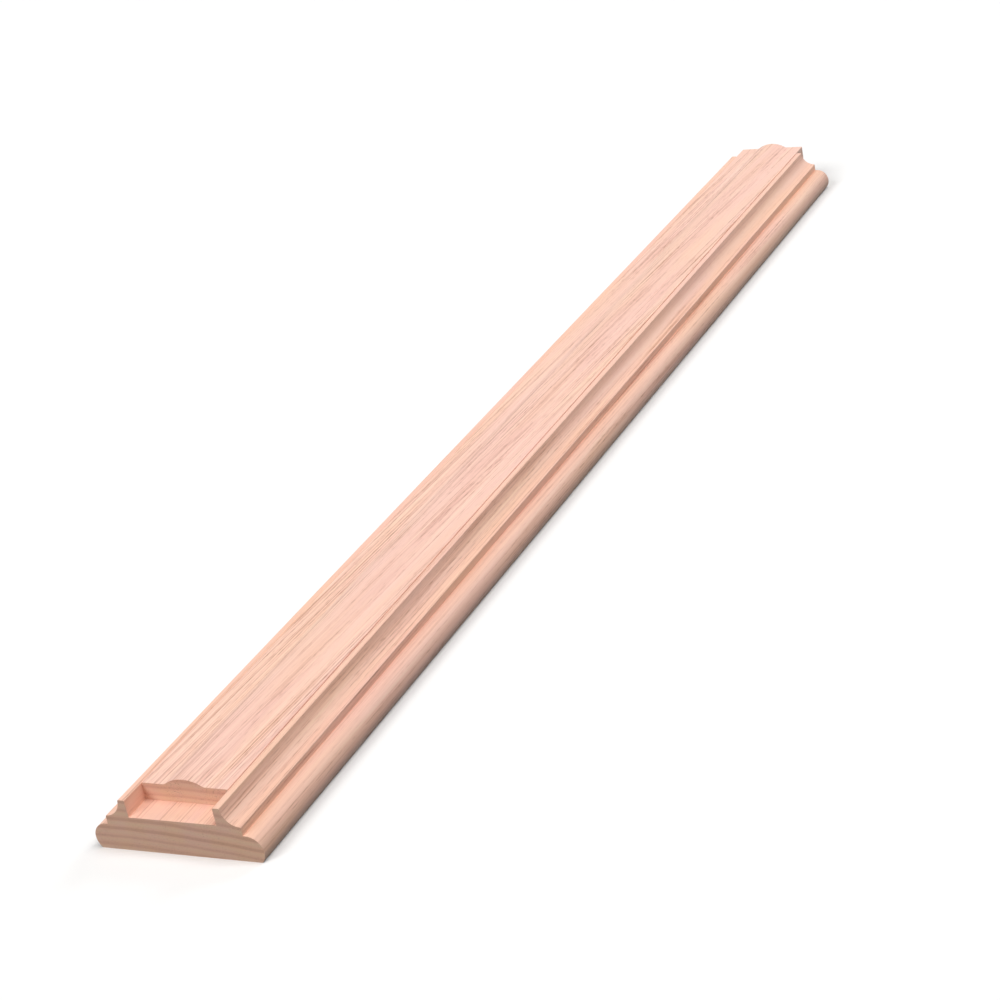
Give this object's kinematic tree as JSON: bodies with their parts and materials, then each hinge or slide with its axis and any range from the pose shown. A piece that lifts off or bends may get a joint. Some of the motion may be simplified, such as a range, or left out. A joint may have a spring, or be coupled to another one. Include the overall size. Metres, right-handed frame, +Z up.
{
  "type": "shoe rail",
  "caption": "Straight moulded wooden shoe rail with a plow along its top for baluster feet, and a crowned fillet strip lying loose in the plow.",
  "frame": {"origin": "middle of the rail's flat underside", "axes": "+X along the rail towards the end where the fillet strip stands out, +Y across the rail, +Z up out of the plow"},
  "size_m": [0.6202, 0.0636, 0.0214],
  "materials": {
    "rail_oak": "milled, unfinished",
    "strip_oak": "milled, unfinished"
  },
  "bodies": {
    "root": {"shoe_rail": "rail_oak", "fillet_strip": "strip_oak"}
  },
  "joints": []
}
